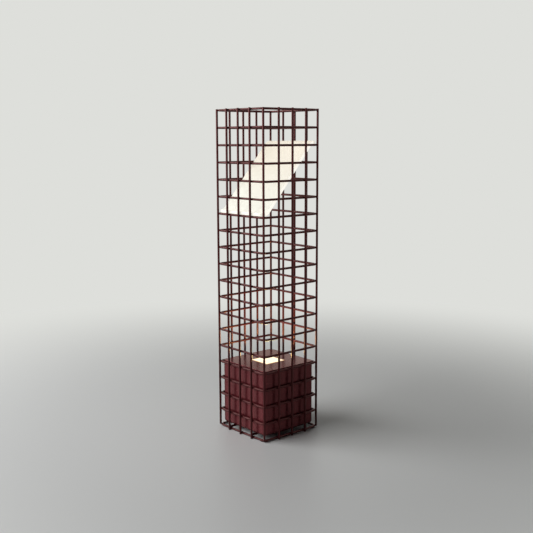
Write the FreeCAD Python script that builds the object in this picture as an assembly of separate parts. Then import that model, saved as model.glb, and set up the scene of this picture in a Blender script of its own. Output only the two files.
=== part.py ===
import FreeCAD, Part
import math
import os

# Wire-grid table lamp: a tall square cage of welded wire with a light box standing in its foot and a
# bent opal sheet hung across it. Millimetres, +Z up. The origin is on the table under the cage's axis.
# The sheet's low end is on the -Y face and its high end on the +Y face. The box's back is +Y.

Vec = FreeCAD.Vector
X_DIR = Vec(1, 0, 0)
Y_DIR = Vec(0, 1, 0)
Z_DIR = Vec(0, 0, 1)
TOUCH = 1e-4

# Cage: square hoops of round wire, with upright wires welded to their outsides
WIRE_D = 4.0
HOOP_COUNT = 20
HOOP_PITCH = 30.0
POST_PITCH = 31.1
CORNER_POST_HALF = 2 * POST_PITCH
HOOP_CORNER_R = 8.0
WELD_SINK = 0.2
STUB_LENGTH = 0.5

# Opal sheet: a slope between two level lips that lie on two hoops
SHEET_T = 5.0
SHEET_HALF_X = 59.5
SHEET_LIP_HALF_Y = 63.3
SHEET_BEND_HALF_Y = 51.8
SHEET_BEND_R = 15.0
SHEET_CORNER_R = 10.0
SHEET_EDGE_R = 0.8
SHEET_HIGH_HOOP = 3
SHEET_LOW_HOOP = 7
SHEET_REST_GAP = 0.3

# Light box: a drawn tub with a flat lid
BOX_HALF = 58.5
BOX_CORNER_R = 6.5
BOX_FOOT_R = 5.0
BOX_WALL = 1.5
BOX_TOP_Z = 125.5
LID_T = 3.0
LID_EDGE_R = 0.8
SEAM_CHAMFER = 0.4

# Light window and the lamp head under the lid
WINDOW_HALF = 22.0
WINDOW_CORNER_R = 2.0
WINDOW_GAP = 0.2
WINDOW_PROUD = 0.2
CUP_HALF = 26.0
CUP_DEPTH = 14.0
CUP_MOUTH_HALF = 20.0
CUP_THROAT_HALF = 12.0
LED_BOARD_HALF = 29.0
LED_BOARD_T = 1.5
EMITTER_R = 10.0
EMITTER_T = 1.0
SINK_HALF = 32.0
SINK_BASE_T = 5.0
FIN_DEPTH = 18.0
FIN_T = 1.6
FIN_PITCH = 5.0
INNER_FIN_COUNT = 8
OUTER_FIN_X = 30.0
HEAD_SCREW_PLACE = 23.0
HEAD_SCREW_BITE = 1.8

# Screws: shank radius, head radius and head height of the two sizes
M3_R = 1.5
M3_HEAD_R = 2.75
M3_HEAD_H = 2.0
M4_R = 2.0
M4_HEAD_R = 3.6
M4_HEAD_H = 2.4
THREAD_GAP = 0.05
SHANK_GAP = 0.2

# Posts that tie the lid to the tub's floor
LID_POST_PLACE = 48.0
LID_POST_R = 3.5
BASE_SCREW_BITE = 7.5
BASE_HOLE_DEPTH = 9.0

# Battery: three cells lying side by side in a tray
CELL_R = 10.5
CELL_LENGTH = 70.0
CELL_PITCH = 22.0
CELL_COUNT = 3
CELL_LIFT = 0.2
TRAY_HALF_X = 50.0
TRAY_HALF_Y = 35.0
TRAY_FLOOR_T = 2.0
TRAY_END_X = 36.0
TRAY_END_T = 3.0
TRAY_WALL_T = 1.8
TRAY_WALL_H = 16.0
TRAY_BOSS_X = 46.0
TRAY_BOSS_Y = 20.0
TRAY_BOSS_R = 4.0
TRAY_BOSS_H = 10.0

# Control board inside the back wall, with the button and the charging socket
BOARD_HALF_X = 40.0
BOARD_LOW_Z = 48.0
BOARD_HIGH_Z = 90.0
BOARD_T = 1.6
BOARD_STANDOFF = 4.5
STANDOFF_R = 2.6
STANDOFF_X = 36.0
STANDOFF_INSET_Z = 5.0
BOARD_SCREW_BITE = 3.6
CONTROL_Z = 77.5
BUTTON_X = -POST_PITCH / 2
SOCKET_X = POST_PITCH / 2
BUTTON_R = 4.5
BUTTON_HOLE_R = 4.9
BUTTON_PROUD = 1.1
BUTTON_RIM_R = 5.8
BUTTON_RIM_T = 0.8
BUTTON_RIM_GAP = 0.3
BUTTON_EDGE_R = 0.5
SWITCH_HALF = 3.1
SWITCH_T = 2.0
SWITCH_PLUNGER_R = 1.6
SWITCH_PLUNGER_H = 0.4
SOCKET_HALF_X = 4.5
SOCKET_HALF_Z = 1.6
SOCKET_WALL = 0.3
SOCKET_GAP = 0.2
SOCKET_SUNK = 0.2
SOCKET_BACK_T = 1.0
SOCKET_TONGUE_HALF_X = 3.3
SOCKET_TONGUE_HALF_Z = 0.35
SOCKET_TONGUE_L = 4.2

# Leads inside the box
LEAD_R = 0.8
LEAD_Y = 44.0
LED_PAD_Y = 27.5
LED_LEAD_X = 4.0
LED_LEAD_RISE = 2.0
BATTERY_LEAD_X = 10.0
BATTERY_LEAD_Z = 18.0
BATTERY_LEAD_TOP_Z = 58.0

# Cradle: two cross wires on the lowest hoop, strapped to the tub's floor
CRADLE_X = 30.0
CRADLE_HALF_Y = 63.0
STRAP_Y = 44.0
STRAP_WIDTH = 10.0
STRAP_T = 1.0
STRAP_GAP = 0.1
STRAP_HALF_X = 9.4
STRAP_SCREW_X = 6.2

# Worked-out places
WIRE_R = WIRE_D / 2
CORNER_REACH = (HOOP_CORNER_R + WIRE_D - WELD_SINK) / math.sqrt(2)
HOOP_HALF = CORNER_POST_HALF + HOOP_CORNER_R - CORNER_REACH
FACE_POST_PLACE = HOOP_HALF + WIRE_D - WELD_SINK
LOW_HOOP_Z = STUB_LENGTH + WIRE_R
TOP_HOOP_Z = LOW_HOOP_Z + (HOOP_COUNT - 1) * HOOP_PITCH
CAGE_TOP_Z = TOP_HOOP_Z + WIRE_R + STUB_LENGTH
CRADLE_Z = LOW_HOOP_Z + WIRE_D - WELD_SINK
BOX_LOW_Z = CRADLE_Z + WIRE_R
BOX_FLOOR_Z = BOX_LOW_Z + BOX_WALL
LID_Z = BOX_TOP_Z - LID_T
CUP_Z = LID_Z - CUP_DEPTH
LED_BOARD_Z = CUP_Z - LED_BOARD_T
SINK_Z = LED_BOARD_Z - SINK_BASE_T
WALL_INNER_Y = BOX_HALF - BOX_WALL
BOARD_FACE_Y = WALL_INNER_Y - BOARD_STANDOFF
BOARD_BACK_Y = BOARD_FACE_Y - BOARD_T
BOARD_SCREW_ZS = (BOARD_LOW_Z + STANDOFF_INSET_Z, BOARD_HIGH_Z - STANDOFF_INSET_Z)


def hoop_z(number):
    """Height of a hoop's wire centre; hoop 1 is the top one."""
    return TOP_HOOP_Z - (number - 1) * HOOP_PITCH


def four_corners(place_x, place_y):
    """The four mirrored places of one point about the lamp's axis."""
    return [(sx * place_x, sy * place_y) for sx in (-1, 1) for sy in (-1, 1)]


def is_upright(edge):
    """True for an edge that runs straight up."""
    return edge.BoundBox.XLength < TOUCH and edge.BoundBox.YLength < TOUCH


def rounded_loop(half_x, half_y, radius, z):
    """A level rectangle with rounded corners, as a closed wire."""
    slab = block((-half_x, half_x), (-half_y, half_y), (z, z + radius))
    rounded = slab.makeFillet(radius, [e for e in slab.Edges if is_upright(e)])
    low_face = min(rounded.Faces, key=lambda face: face.CenterOfMass.z)
    return low_face.OuterWire


def rounded_slab(half_x, half_y, radius, z_low, z_high):
    """A flat slab with rounded upright edges."""
    face = Part.Face(rounded_loop(half_x, half_y, radius, z_low))
    return face.extrude(Vec(0, 0, z_high - z_low))


def edges_at_height(shape, z):
    """The edges that lie wholly at one height."""
    return [e for e in shape.Edges if max(abs(e.BoundBox.ZMin - z), abs(e.BoundBox.ZMax - z)) < TOUCH]


def block(x_range, y_range, z_range):
    """A plain rectangular block between two limits on each axis."""
    corner = Vec(x_range[0], y_range[0], z_range[0])
    size = (x_range[1] - x_range[0], y_range[1] - y_range[0], z_range[1] - z_range[0])
    return Part.makeBox(size[0], size[1], size[2], corner)


def rod_z(x, y, z_low, z_high, radius):
    """An upright round rod."""
    return Part.makeCylinder(radius, z_high - z_low, Vec(x, y, z_low), Z_DIR)


def rod_y(x, z, y_low, y_high, radius):
    """A round rod that runs front to back."""
    return Part.makeCylinder(radius, y_high - y_low, Vec(x, y_low, z), Y_DIR)


def lead(points):
    """A round lead along line and arc pieces; a piece of three points is an arc."""
    edges = []
    for piece in points:
        if len(piece) == 3:
            edges.append(Part.Arc(piece[0], piece[1], piece[2]).toShape())
        else:
            edges.append(Part.LineSegment(piece[0], piece[1]).toShape())
    path = Part.Wire(edges)
    start = edges[0].Vertexes[0].Point
    heading = edges[0].tangentAt(edges[0].FirstParameter)
    ring = Part.Wire(Part.makeCircle(LEAD_R, start, heading))
    return path.makePipe(Part.Face(ring))


def hoop(number):
    """One square hoop: round wire bent to rounded corners and butt welded into a closed loop."""
    z = hoop_z(number)
    path = rounded_loop(HOOP_HALF, HOOP_HALF, HOOP_CORNER_R, z)
    first = path.OrderedEdges[0]
    start = first.valueAt(first.FirstParameter)
    heading = first.tangentAt(first.FirstParameter)
    ring = Part.Wire(Part.makeCircle(WIRE_R, start, heading))
    return path.makePipeShell([ring], True, True)


def corner_post(x, y):
    """An upright wire outside the hoops' corners, from the lowest hoop's centre line to the top hoop's top."""
    return rod_z(x, y, LOW_HOOP_Z, TOP_HOOP_Z + WIRE_R, WIRE_R)


def face_post(x, y):
    """An upright wire on one face; its ends stand past the end hoops, and the lamp stands on them."""
    return rod_z(x, y, 0.0, CAGE_TOP_Z, WIRE_R)


def cage_wires():
    """Every hoop and upright wire of the cage, by name."""
    wires = {}
    for number in range(1, HOOP_COUNT + 1):
        wires["hoop_%02d" % number] = hoop(number)
    for depth, sign_y in (("front", -1), ("back", 1)):
        for side, sign_x in (("left", -1), ("right", 1)):
            name = "corner_post_%s_%s" % (depth, side)
            wires[name] = corner_post(sign_x * CORNER_POST_HALF, sign_y * CORNER_POST_HALF)
    steps = (("left", "front", -POST_PITCH), ("middle", "middle", 0.0), ("right", "back", POST_PITCH))
    for along_x, along_y, place in steps:
        wires["front_post_" + along_x] = face_post(place, -FACE_POST_PLACE)
        wires["back_post_" + along_x] = face_post(place, FACE_POST_PLACE)
        wires["left_post_" + along_y] = face_post(-FACE_POST_PLACE, place)
        wires["right_post_" + along_y] = face_post(FACE_POST_PLACE, place)
    return wires


def cradle_wires():
    """Two straight wires welded across the lowest hoop, under the light box."""
    length = 2 * CRADLE_HALF_Y
    rods = []
    for x in (-CRADLE_X, CRADLE_X):
        rods.append(Part.makeCylinder(WIRE_R, length, Vec(x, -CRADLE_HALF_Y, CRADLE_Z), Y_DIR))
    return Part.makeCompound(rods)


def strap_screw_places():
    """Plan places of the screws that hold the straps."""
    places = []
    for x, y in four_corners(CRADLE_X, STRAP_Y):
        places.append((x - STRAP_SCREW_X, y))
        places.append((x + STRAP_SCREW_X, y))
    return places


def half_round(x, along, radius):
    """A bar under the tub's floor, round below a cradle wire's centre and straight-sided above it."""
    upper = block((x - radius, x + radius), along, (CRADLE_Z, BOX_LOW_Z))
    lower = rod_y(x, CRADLE_Z, along[0], along[1], radius)
    lower = lower.common(block((x - radius, x + radius), along, (CRADLE_Z - radius, CRADLE_Z)))
    return upper.fuse(lower)


def cradle_straps():
    """Four pressed saddles, each bent under a cradle wire with an ear on either side."""
    inner = WIRE_R + STRAP_GAP
    outer = inner + STRAP_T
    straps = []
    for x, y in four_corners(CRADLE_X, STRAP_Y):
        along = (y - STRAP_WIDTH / 2, y + STRAP_WIDTH / 2)
        ears = block((x - STRAP_HALF_X, x + STRAP_HALF_X), along, (BOX_LOW_Z - STRAP_T, BOX_LOW_Z))
        saddle = half_round(x, along, outer).cut(half_round(x, along, inner))
        strap = ears.cut(half_round(x, along, inner)).fuse(saddle)
        for side in (-STRAP_SCREW_X, STRAP_SCREW_X):
            strap = strap.cut(rod_z(x + side, y, BOX_LOW_Z - STRAP_T, BOX_LOW_Z, M3_R + SHANK_GAP))
        straps.append(strap.removeSplitter())
    return Part.makeCompound(straps)


def cradle_screws():
    """Eight pan-head screws through the straps' ears into the tub's floor."""
    ear_z = BOX_LOW_Z - STRAP_T
    screws = []
    for x, y in strap_screw_places():
        head = rod_z(x, y, ear_z - M3_HEAD_H, ear_z, M3_HEAD_R)
        screws.append(head.fuse(rod_z(x, y, ear_z, BOX_FLOOR_Z, M3_R)).removeSplitter())
    return Part.makeCompound(screws)


def sheet_path():
    """The sheet's mid-line: high lip, bend, slope, bend, low lip, in the plane of one side edge."""
    x = -SHEET_HALF_X
    lift = WIRE_R + SHEET_REST_GAP + SHEET_T / 2
    high_z = hoop_z(SHEET_HIGH_HOOP) + lift
    low_z = hoop_z(SHEET_LOW_HOOP) + lift
    angle = math.atan2(high_z - low_z, 2 * SHEET_BEND_HALF_Y)
    tangent = SHEET_BEND_R * math.tan(angle / 2)
    bow = SHEET_BEND_R * (1 / math.cos(angle / 2) - 1)
    run = Vec(0, -math.cos(angle), -math.sin(angle))
    high_bend = Vec(x, SHEET_BEND_HALF_Y, high_z)
    low_bend = Vec(x, -SHEET_BEND_HALF_Y, low_z)
    inward = Vec(0, math.sin(angle / 2), -math.cos(angle / 2))
    high_in = high_bend + Y_DIR * tangent
    high_mid = high_bend + inward * bow
    high_out = high_bend + run * tangent
    low_in = low_bend - run * tangent
    low_mid = low_bend - inward * bow
    low_out = low_bend - Y_DIR * tangent
    return Part.Wire([
        Part.LineSegment(Vec(x, SHEET_LIP_HALF_Y, high_z), high_in).toShape(),
        Part.Arc(high_in, high_mid, high_out).toShape(),
        Part.LineSegment(high_out, low_in).toShape(),
        Part.Arc(low_in, low_mid, low_out).toShape(),
        Part.LineSegment(low_out, Vec(x, -SHEET_LIP_HALF_Y, low_z)).toShape(),
    ])


def opal_sheet():
    """The glowing sheet: bent along two lines, with rounded lip corners and eased edges."""
    path = sheet_path()
    start = path.OrderedVertexes[0].Point
    half_t = SHEET_T / 2
    outline = Part.makePolygon([
        start + Vec(0, 0, -half_t),
        start + Vec(2 * SHEET_HALF_X, 0, -half_t),
        start + Vec(2 * SHEET_HALF_X, 0, half_t),
        start + Vec(0, 0, half_t),
        start + Vec(0, 0, -half_t),
    ])
    sheet = path.makePipe(Part.Face(outline))
    plan = rounded_slab(SHEET_HALF_X, SHEET_LIP_HALF_Y, SHEET_CORNER_R, 0.0, CAGE_TOP_Z)
    sheet = sheet.common(plan).removeSplitter().Solids[0]
    return sheet.makeFillet(SHEET_EDGE_R, sheet_rim_edges(sheet))


def sheet_rim_edges(sheet):
    """The outline edges of the sheet's two broad sides: all but the bend lines and the short uprights."""
    rim = []
    for edge in sheet.Edges:
        bend_line = edge.BoundBox.XLength > 2 * SHEET_HALF_X - SHEET_EDGE_R
        if not bend_line and not is_upright(edge):
            rim.append(edge)
    return rim


def base_screw_places():
    """Plan places of the screws through the tub's floor: four lid posts and four tray bosses."""
    return four_corners(LID_POST_PLACE, LID_POST_PLACE) + four_corners(TRAY_BOSS_X, TRAY_BOSS_Y)


def light_box_tub():
    """The tub: sheet drawn into a square pot with rounded foot edges, holed for screws and controls."""
    outer = rounded_slab(BOX_HALF, BOX_HALF, BOX_CORNER_R, BOX_LOW_Z, LID_Z)
    outer = outer.makeFillet(BOX_FOOT_R, edges_at_height(outer, BOX_LOW_Z))
    outer = outer.makeChamfer(SEAM_CHAMFER, edges_at_height(outer, LID_Z))
    inner_r = BOX_CORNER_R - BOX_WALL
    inner = rounded_slab(WALL_INNER_Y, WALL_INNER_Y, inner_r, BOX_FLOOR_Z, LID_Z)
    inner = inner.makeFillet(BOX_FOOT_R - BOX_WALL, edges_at_height(inner, BOX_FLOOR_Z))
    tub = outer.cut(inner)
    for x, y in base_screw_places():
        tub = tub.cut(rod_z(x, y, BOX_LOW_Z, BOX_FLOOR_Z, M4_R + SHANK_GAP))
    for x, y in strap_screw_places():
        tub = tub.cut(rod_z(x, y, BOX_LOW_Z, BOX_FLOOR_Z, M3_R + THREAD_GAP))
    tub = tub.cut(rod_y(BUTTON_X, CONTROL_Z, WALL_INNER_Y, BOX_HALF, BUTTON_HOLE_R))
    return tub.cut(socket_slab(SOCKET_GAP, WALL_INNER_Y, BOX_HALF))


def top_plate():
    """The lid: a flat plate with an eased top edge, a square light opening and blind screw holes."""
    plate = rounded_slab(BOX_HALF, BOX_HALF, BOX_CORNER_R, LID_Z, BOX_TOP_Z)
    plate = plate.makeFillet(LID_EDGE_R, edges_at_height(plate, BOX_TOP_Z))
    opening = WINDOW_HALF + WINDOW_GAP
    plate = plate.cut(rounded_slab(opening, opening, WINDOW_CORNER_R + WINDOW_GAP, LID_Z, BOX_TOP_Z))
    for x, y in four_corners(HEAD_SCREW_PLACE, HEAD_SCREW_PLACE):
        plate = plate.cut(rod_z(x, y, LID_Z, LID_Z + HEAD_SCREW_BITE + THREAD_GAP, M3_R + THREAD_GAP))
    return plate


def light_window():
    """The diffuser pane: it lies on the cup's rim inside the lid's opening."""
    return rounded_slab(WINDOW_HALF, WINDOW_HALF, WINDOW_CORNER_R, LID_Z, BOX_TOP_Z + WINDOW_PROUD)


def square_face(half, z):
    """A level square face about the lamp's axis."""
    return Part.makePlane(2 * half, 2 * half, Vec(-half, -half, z))


def light_cup():
    """The square cup between board and lid; its throat widens to the window."""
    cup = block((-CUP_HALF, CUP_HALF), (-CUP_HALF, CUP_HALF), (CUP_Z, LID_Z))
    throat = square_face(CUP_THROAT_HALF, CUP_Z).OuterWire
    mouth = square_face(CUP_MOUTH_HALF, LID_Z).OuterWire
    cup = cup.cut(Part.makeLoft([throat, mouth], True, True))
    return drill_head_holes(cup, CUP_Z, LID_Z)


def drill_head_holes(shape, z_low, z_high):
    """Clearance holes for the four long screws of the lamp head."""
    for x, y in four_corners(HEAD_SCREW_PLACE, HEAD_SCREW_PLACE):
        shape = shape.cut(rod_z(x, y, z_low, z_high, M3_R + SHANK_GAP))
    return shape


def led_board():
    """The metal-core board that carries the emitter."""
    half = LED_BOARD_HALF
    board = block((-half, half), (-half, half), (LED_BOARD_Z, CUP_Z))
    return drill_head_holes(board, LED_BOARD_Z, CUP_Z)


def led_emitter():
    """The round chip-on-board emitter at the bottom of the cup."""
    return rod_z(0.0, 0.0, CUP_Z, CUP_Z + EMITTER_T, EMITTER_R)


def heat_sink():
    """The finned heat sink under the board; the fins leave room for the screw heads."""
    sink = block((-SINK_HALF, SINK_HALF), (-SINK_HALF, SINK_HALF), (SINK_Z, LED_BOARD_Z))
    first_x = -FIN_PITCH * (INNER_FIN_COUNT - 1) / 2
    fin_xs = [first_x + FIN_PITCH * index for index in range(INNER_FIN_COUNT)]
    fin_xs += [-OUTER_FIN_X, OUTER_FIN_X]
    fins = []
    for x in fin_xs:
        fin_x = (x - FIN_T / 2, x + FIN_T / 2)
        fins.append(block(fin_x, (-SINK_HALF, SINK_HALF), (SINK_Z - FIN_DEPTH, SINK_Z)))
    return drill_head_holes(sink.fuse(fins).removeSplitter(), SINK_Z, LED_BOARD_Z)


def head_screws():
    """Four long screws that clamp heat sink, board and cup up to the lid."""
    screws = []
    for x, y in four_corners(HEAD_SCREW_PLACE, HEAD_SCREW_PLACE):
        head = rod_z(x, y, SINK_Z - M3_HEAD_H, SINK_Z, M3_HEAD_R)
        screws.append(head.fuse(rod_z(x, y, SINK_Z, LID_Z + HEAD_SCREW_BITE, M3_R)).removeSplitter())
    return Part.makeCompound(screws)


def lid_posts():
    """Four round posts welded under the lid, tapped at the foot."""
    posts = []
    for x, y in four_corners(LID_POST_PLACE, LID_POST_PLACE):
        post = rod_z(x, y, BOX_FLOOR_Z, LID_Z, LID_POST_R)
        posts.append(post.cut(rod_z(x, y, BOX_FLOOR_Z, BOX_FLOOR_Z + BASE_HOLE_DEPTH, M4_R + THREAD_GAP)))
    return Part.makeCompound(posts)


def base_screws():
    """Eight pan-head screws up through the tub's floor into the lid posts and the tray."""
    screws = []
    for x, y in base_screw_places():
        head = rod_z(x, y, BOX_LOW_Z - M4_HEAD_H, BOX_LOW_Z, M4_HEAD_R)
        shank = rod_z(x, y, BOX_LOW_Z, BOX_FLOOR_Z + BASE_SCREW_BITE, M4_R)
        screws.append(head.fuse(shank).removeSplitter())
    return Part.makeCompound(screws)


def battery_tray():
    """The moulded tray: floor, end walls, side walls and four tapped bosses."""
    floor_top = BOX_FLOOR_Z + TRAY_FLOOR_T
    wall_top = floor_top + TRAY_WALL_H
    tray = block((-TRAY_HALF_X, TRAY_HALF_X), (-TRAY_HALF_Y, TRAY_HALF_Y), (BOX_FLOOR_Z, floor_top))
    end_out = TRAY_END_X + TRAY_END_T
    walls = []
    for sign in (-1, 1):
        end_x = sorted((sign * TRAY_END_X, sign * end_out))
        side_y = sorted((sign * (TRAY_HALF_Y - TRAY_WALL_T), sign * TRAY_HALF_Y))
        walls.append(block(end_x, (-TRAY_HALF_Y, TRAY_HALF_Y), (floor_top, wall_top)))
        walls.append(block((-end_out, end_out), side_y, (floor_top, wall_top)))
    for x, y in four_corners(TRAY_BOSS_X, TRAY_BOSS_Y):
        walls.append(rod_z(x, y, BOX_FLOOR_Z, BOX_FLOOR_Z + TRAY_BOSS_H, TRAY_BOSS_R))
    tray = tray.fuse(walls).removeSplitter()
    for x, y in four_corners(TRAY_BOSS_X, TRAY_BOSS_Y):
        tray = tray.cut(rod_z(x, y, BOX_FLOOR_Z, BOX_FLOOR_Z + BASE_HOLE_DEPTH, M4_R + THREAD_GAP))
    return tray


def battery_cells():
    """Three round cells lying side by side."""
    axis_z = BOX_FLOOR_Z + TRAY_FLOOR_T + CELL_R + CELL_LIFT
    first_y = -CELL_PITCH * (CELL_COUNT - 1) / 2
    cells = []
    for index in range(CELL_COUNT):
        start = Vec(-CELL_LENGTH / 2, first_y + index * CELL_PITCH, axis_z)
        cells.append(Part.makeCylinder(CELL_R, CELL_LENGTH, start, X_DIR))
    return Part.makeCompound(cells)


def board_screw_places():
    """The four fixing places of the control board, as x and z."""
    return [(x, z) for x in (-STANDOFF_X, STANDOFF_X) for z in BOARD_SCREW_ZS]


def control_board():
    """The upright board behind the back wall."""
    board = block((-BOARD_HALF_X, BOARD_HALF_X), (BOARD_BACK_Y, BOARD_FACE_Y), (BOARD_LOW_Z, BOARD_HIGH_Z))
    for x, z in board_screw_places():
        board = board.cut(rod_y(x, z, BOARD_BACK_Y, BOARD_FACE_Y, M3_R + SHANK_GAP))
    return board


def board_standoffs():
    """Four tapped standoffs welded inside the back wall."""
    standoffs = []
    for x, z in board_screw_places():
        body = rod_y(x, z, BOARD_FACE_Y, WALL_INNER_Y, STANDOFF_R)
        hole = rod_y(x, z, BOARD_FACE_Y, BOARD_FACE_Y + BOARD_SCREW_BITE, M3_R + THREAD_GAP)
        standoffs.append(body.cut(hole))
    return Part.makeCompound(standoffs)


def board_screws():
    """Four pan-head screws that hold the board to its standoffs."""
    screws = []
    for x, z in board_screw_places():
        head = rod_y(x, z, BOARD_BACK_Y - M3_HEAD_H, BOARD_BACK_Y, M3_HEAD_R)
        shank = rod_y(x, z, BOARD_BACK_Y, BOARD_FACE_Y + BOARD_SCREW_BITE - THREAD_GAP, M3_R)
        screws.append(head.fuse(shank).removeSplitter())
    return Part.makeCompound(screws)


def socket_slab(grow, y_low, y_high):
    """A flat round-sided bar of the socket's outline, grown all round by one amount."""
    half_z = SOCKET_HALF_Z + grow
    flat_x = SOCKET_HALF_X - SOCKET_HALF_Z
    z_range = (CONTROL_Z - half_z, CONTROL_Z + half_z)
    middle = block((SOCKET_X - flat_x, SOCKET_X + flat_x), (y_low, y_high), z_range)
    ends = [rod_y(SOCKET_X + side, CONTROL_Z, y_low, y_high, half_z) for side in (-flat_x, flat_x)]
    return middle.fuse(ends).removeSplitter()


def charge_port():
    """The charging socket: a drawn shell on the board with a contact tongue in its mouth."""
    mouth_y = BOX_HALF - SOCKET_SUNK
    back_y = BOARD_FACE_Y + SOCKET_BACK_T
    shell = socket_slab(0.0, BOARD_FACE_Y, mouth_y)
    shell = shell.cut(socket_slab(-SOCKET_WALL, back_y, mouth_y))
    tongue_x = (SOCKET_X - SOCKET_TONGUE_HALF_X, SOCKET_X + SOCKET_TONGUE_HALF_X)
    tongue_z = (CONTROL_Z - SOCKET_TONGUE_HALF_Z, CONTROL_Z + SOCKET_TONGUE_HALF_Z)
    return shell.fuse(block(tongue_x, (back_y, back_y + SOCKET_TONGUE_L), tongue_z)).removeSplitter()


def button_switch():
    """The small push switch on the board behind the button."""
    body_top = BOARD_FACE_Y + SWITCH_T
    body_x = (BUTTON_X - SWITCH_HALF, BUTTON_X + SWITCH_HALF)
    body_z = (CONTROL_Z - SWITCH_HALF, CONTROL_Z + SWITCH_HALF)
    body = block(body_x, (BOARD_FACE_Y, body_top), body_z)
    plunger = rod_y(BUTTON_X, CONTROL_Z, body_top, body_top + SWITCH_PLUNGER_H, SWITCH_PLUNGER_R)
    return body.fuse(plunger).removeSplitter()


def dimmer_button():
    """The round push button: a cap through the back wall with a rim that keeps it in."""
    rim_high = WALL_INNER_Y - BUTTON_RIM_GAP
    cap_end = BOX_HALF + BUTTON_PROUD
    rim = rod_y(BUTTON_X, CONTROL_Z, rim_high - BUTTON_RIM_T, rim_high, BUTTON_RIM_R)
    cap = rod_y(BUTTON_X, CONTROL_Z, rim_high, cap_end, BUTTON_R)
    end_edges = [e for e in cap.Edges if abs(e.BoundBox.YMin - cap_end) < TOUCH]
    return cap.makeFillet(BUTTON_EDGE_R, end_edges).fuse(rim).removeSplitter()


def led_leads():
    """Two leads that arch from the emitter board over to the control board."""
    arch_r = (LEAD_Y - LED_PAD_Y) / 2
    last_r = BOARD_BACK_Y - LEAD_Y
    rise_z = CUP_Z + LED_LEAD_RISE
    turn_z = CONTROL_Z + last_r
    last_y = BOARD_BACK_Y - last_r / math.sqrt(2)
    last_z = turn_z - last_r / math.sqrt(2)
    leads = []
    for x in (-LED_LEAD_X, LED_LEAD_X):
        arch_top = Vec(x, LED_PAD_Y + arch_r, rise_z + arch_r)
        board_end = Vec(x, BOARD_BACK_Y, CONTROL_Z)
        leads.append(lead([
            (Vec(x, LED_PAD_Y, CUP_Z), Vec(x, LED_PAD_Y, rise_z)),
            (Vec(x, LED_PAD_Y, rise_z), arch_top, Vec(x, LEAD_Y, rise_z)),
            (Vec(x, LEAD_Y, rise_z), Vec(x, LEAD_Y, turn_z)),
            (Vec(x, LEAD_Y, turn_z), Vec(x, last_y, last_z), board_end),
        ]))
    return Part.makeCompound(leads)


def battery_leads():
    """Two leads from the tray's side wall up to the control board."""
    first_r = LEAD_Y - TRAY_HALF_Y
    last_r = BOARD_BACK_Y - LEAD_Y
    up_z = BATTERY_LEAD_Z + first_r
    turn_z = BATTERY_LEAD_TOP_Z - last_r
    bend_y = TRAY_HALF_Y + first_r / math.sqrt(2)
    bend_z = up_z - first_r / math.sqrt(2)
    last_y = BOARD_BACK_Y - last_r / math.sqrt(2)
    last_z = turn_z + last_r / math.sqrt(2)
    leads = []
    for x in (-BATTERY_LEAD_X, BATTERY_LEAD_X):
        board_end = Vec(x, BOARD_BACK_Y, BATTERY_LEAD_TOP_Z)
        leads.append(lead([
            (Vec(x, TRAY_HALF_Y, BATTERY_LEAD_Z), Vec(x, bend_y, bend_z), Vec(x, LEAD_Y, up_z)),
            (Vec(x, LEAD_Y, up_z), Vec(x, LEAD_Y, turn_z)),
            (Vec(x, LEAD_Y, turn_z), Vec(x, last_y, last_z), board_end),
        ]))
    return Part.makeCompound(leads)


nodes = cage_wires()
nodes["cradle_wires"] = cradle_wires()
nodes["cradle_straps"] = cradle_straps()
nodes["cradle_screws"] = cradle_screws()
nodes["opal_sheet"] = opal_sheet()
nodes["light_box_tub"] = light_box_tub()
nodes["top_plate"] = top_plate()
nodes["light_window"] = light_window()
nodes["light_cup"] = light_cup()
nodes["led_board"] = led_board()
nodes["led_emitter"] = led_emitter()
nodes["heat_sink"] = heat_sink()
nodes["head_screws"] = head_screws()
nodes["lid_posts"] = lid_posts()
nodes["base_screws"] = base_screws()
nodes["battery_tray"] = battery_tray()
nodes["battery_cells"] = battery_cells()
nodes["control_board"] = control_board()
nodes["board_standoffs"] = board_standoffs()
nodes["board_screws"] = board_screws()
nodes["charge_port"] = charge_port()
nodes["button_switch"] = button_switch()
nodes["dimmer_button"] = dimmer_button()
nodes["led_leads"] = led_leads()
nodes["battery_leads"] = battery_leads()

os.makedirs("parts", exist_ok=True)
for node, shape in nodes.items():
    shape.exportStep("parts/%s.step" % node)
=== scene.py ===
import bmesh
import bpy
import math
from mathutils import Matrix, Vector


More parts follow.
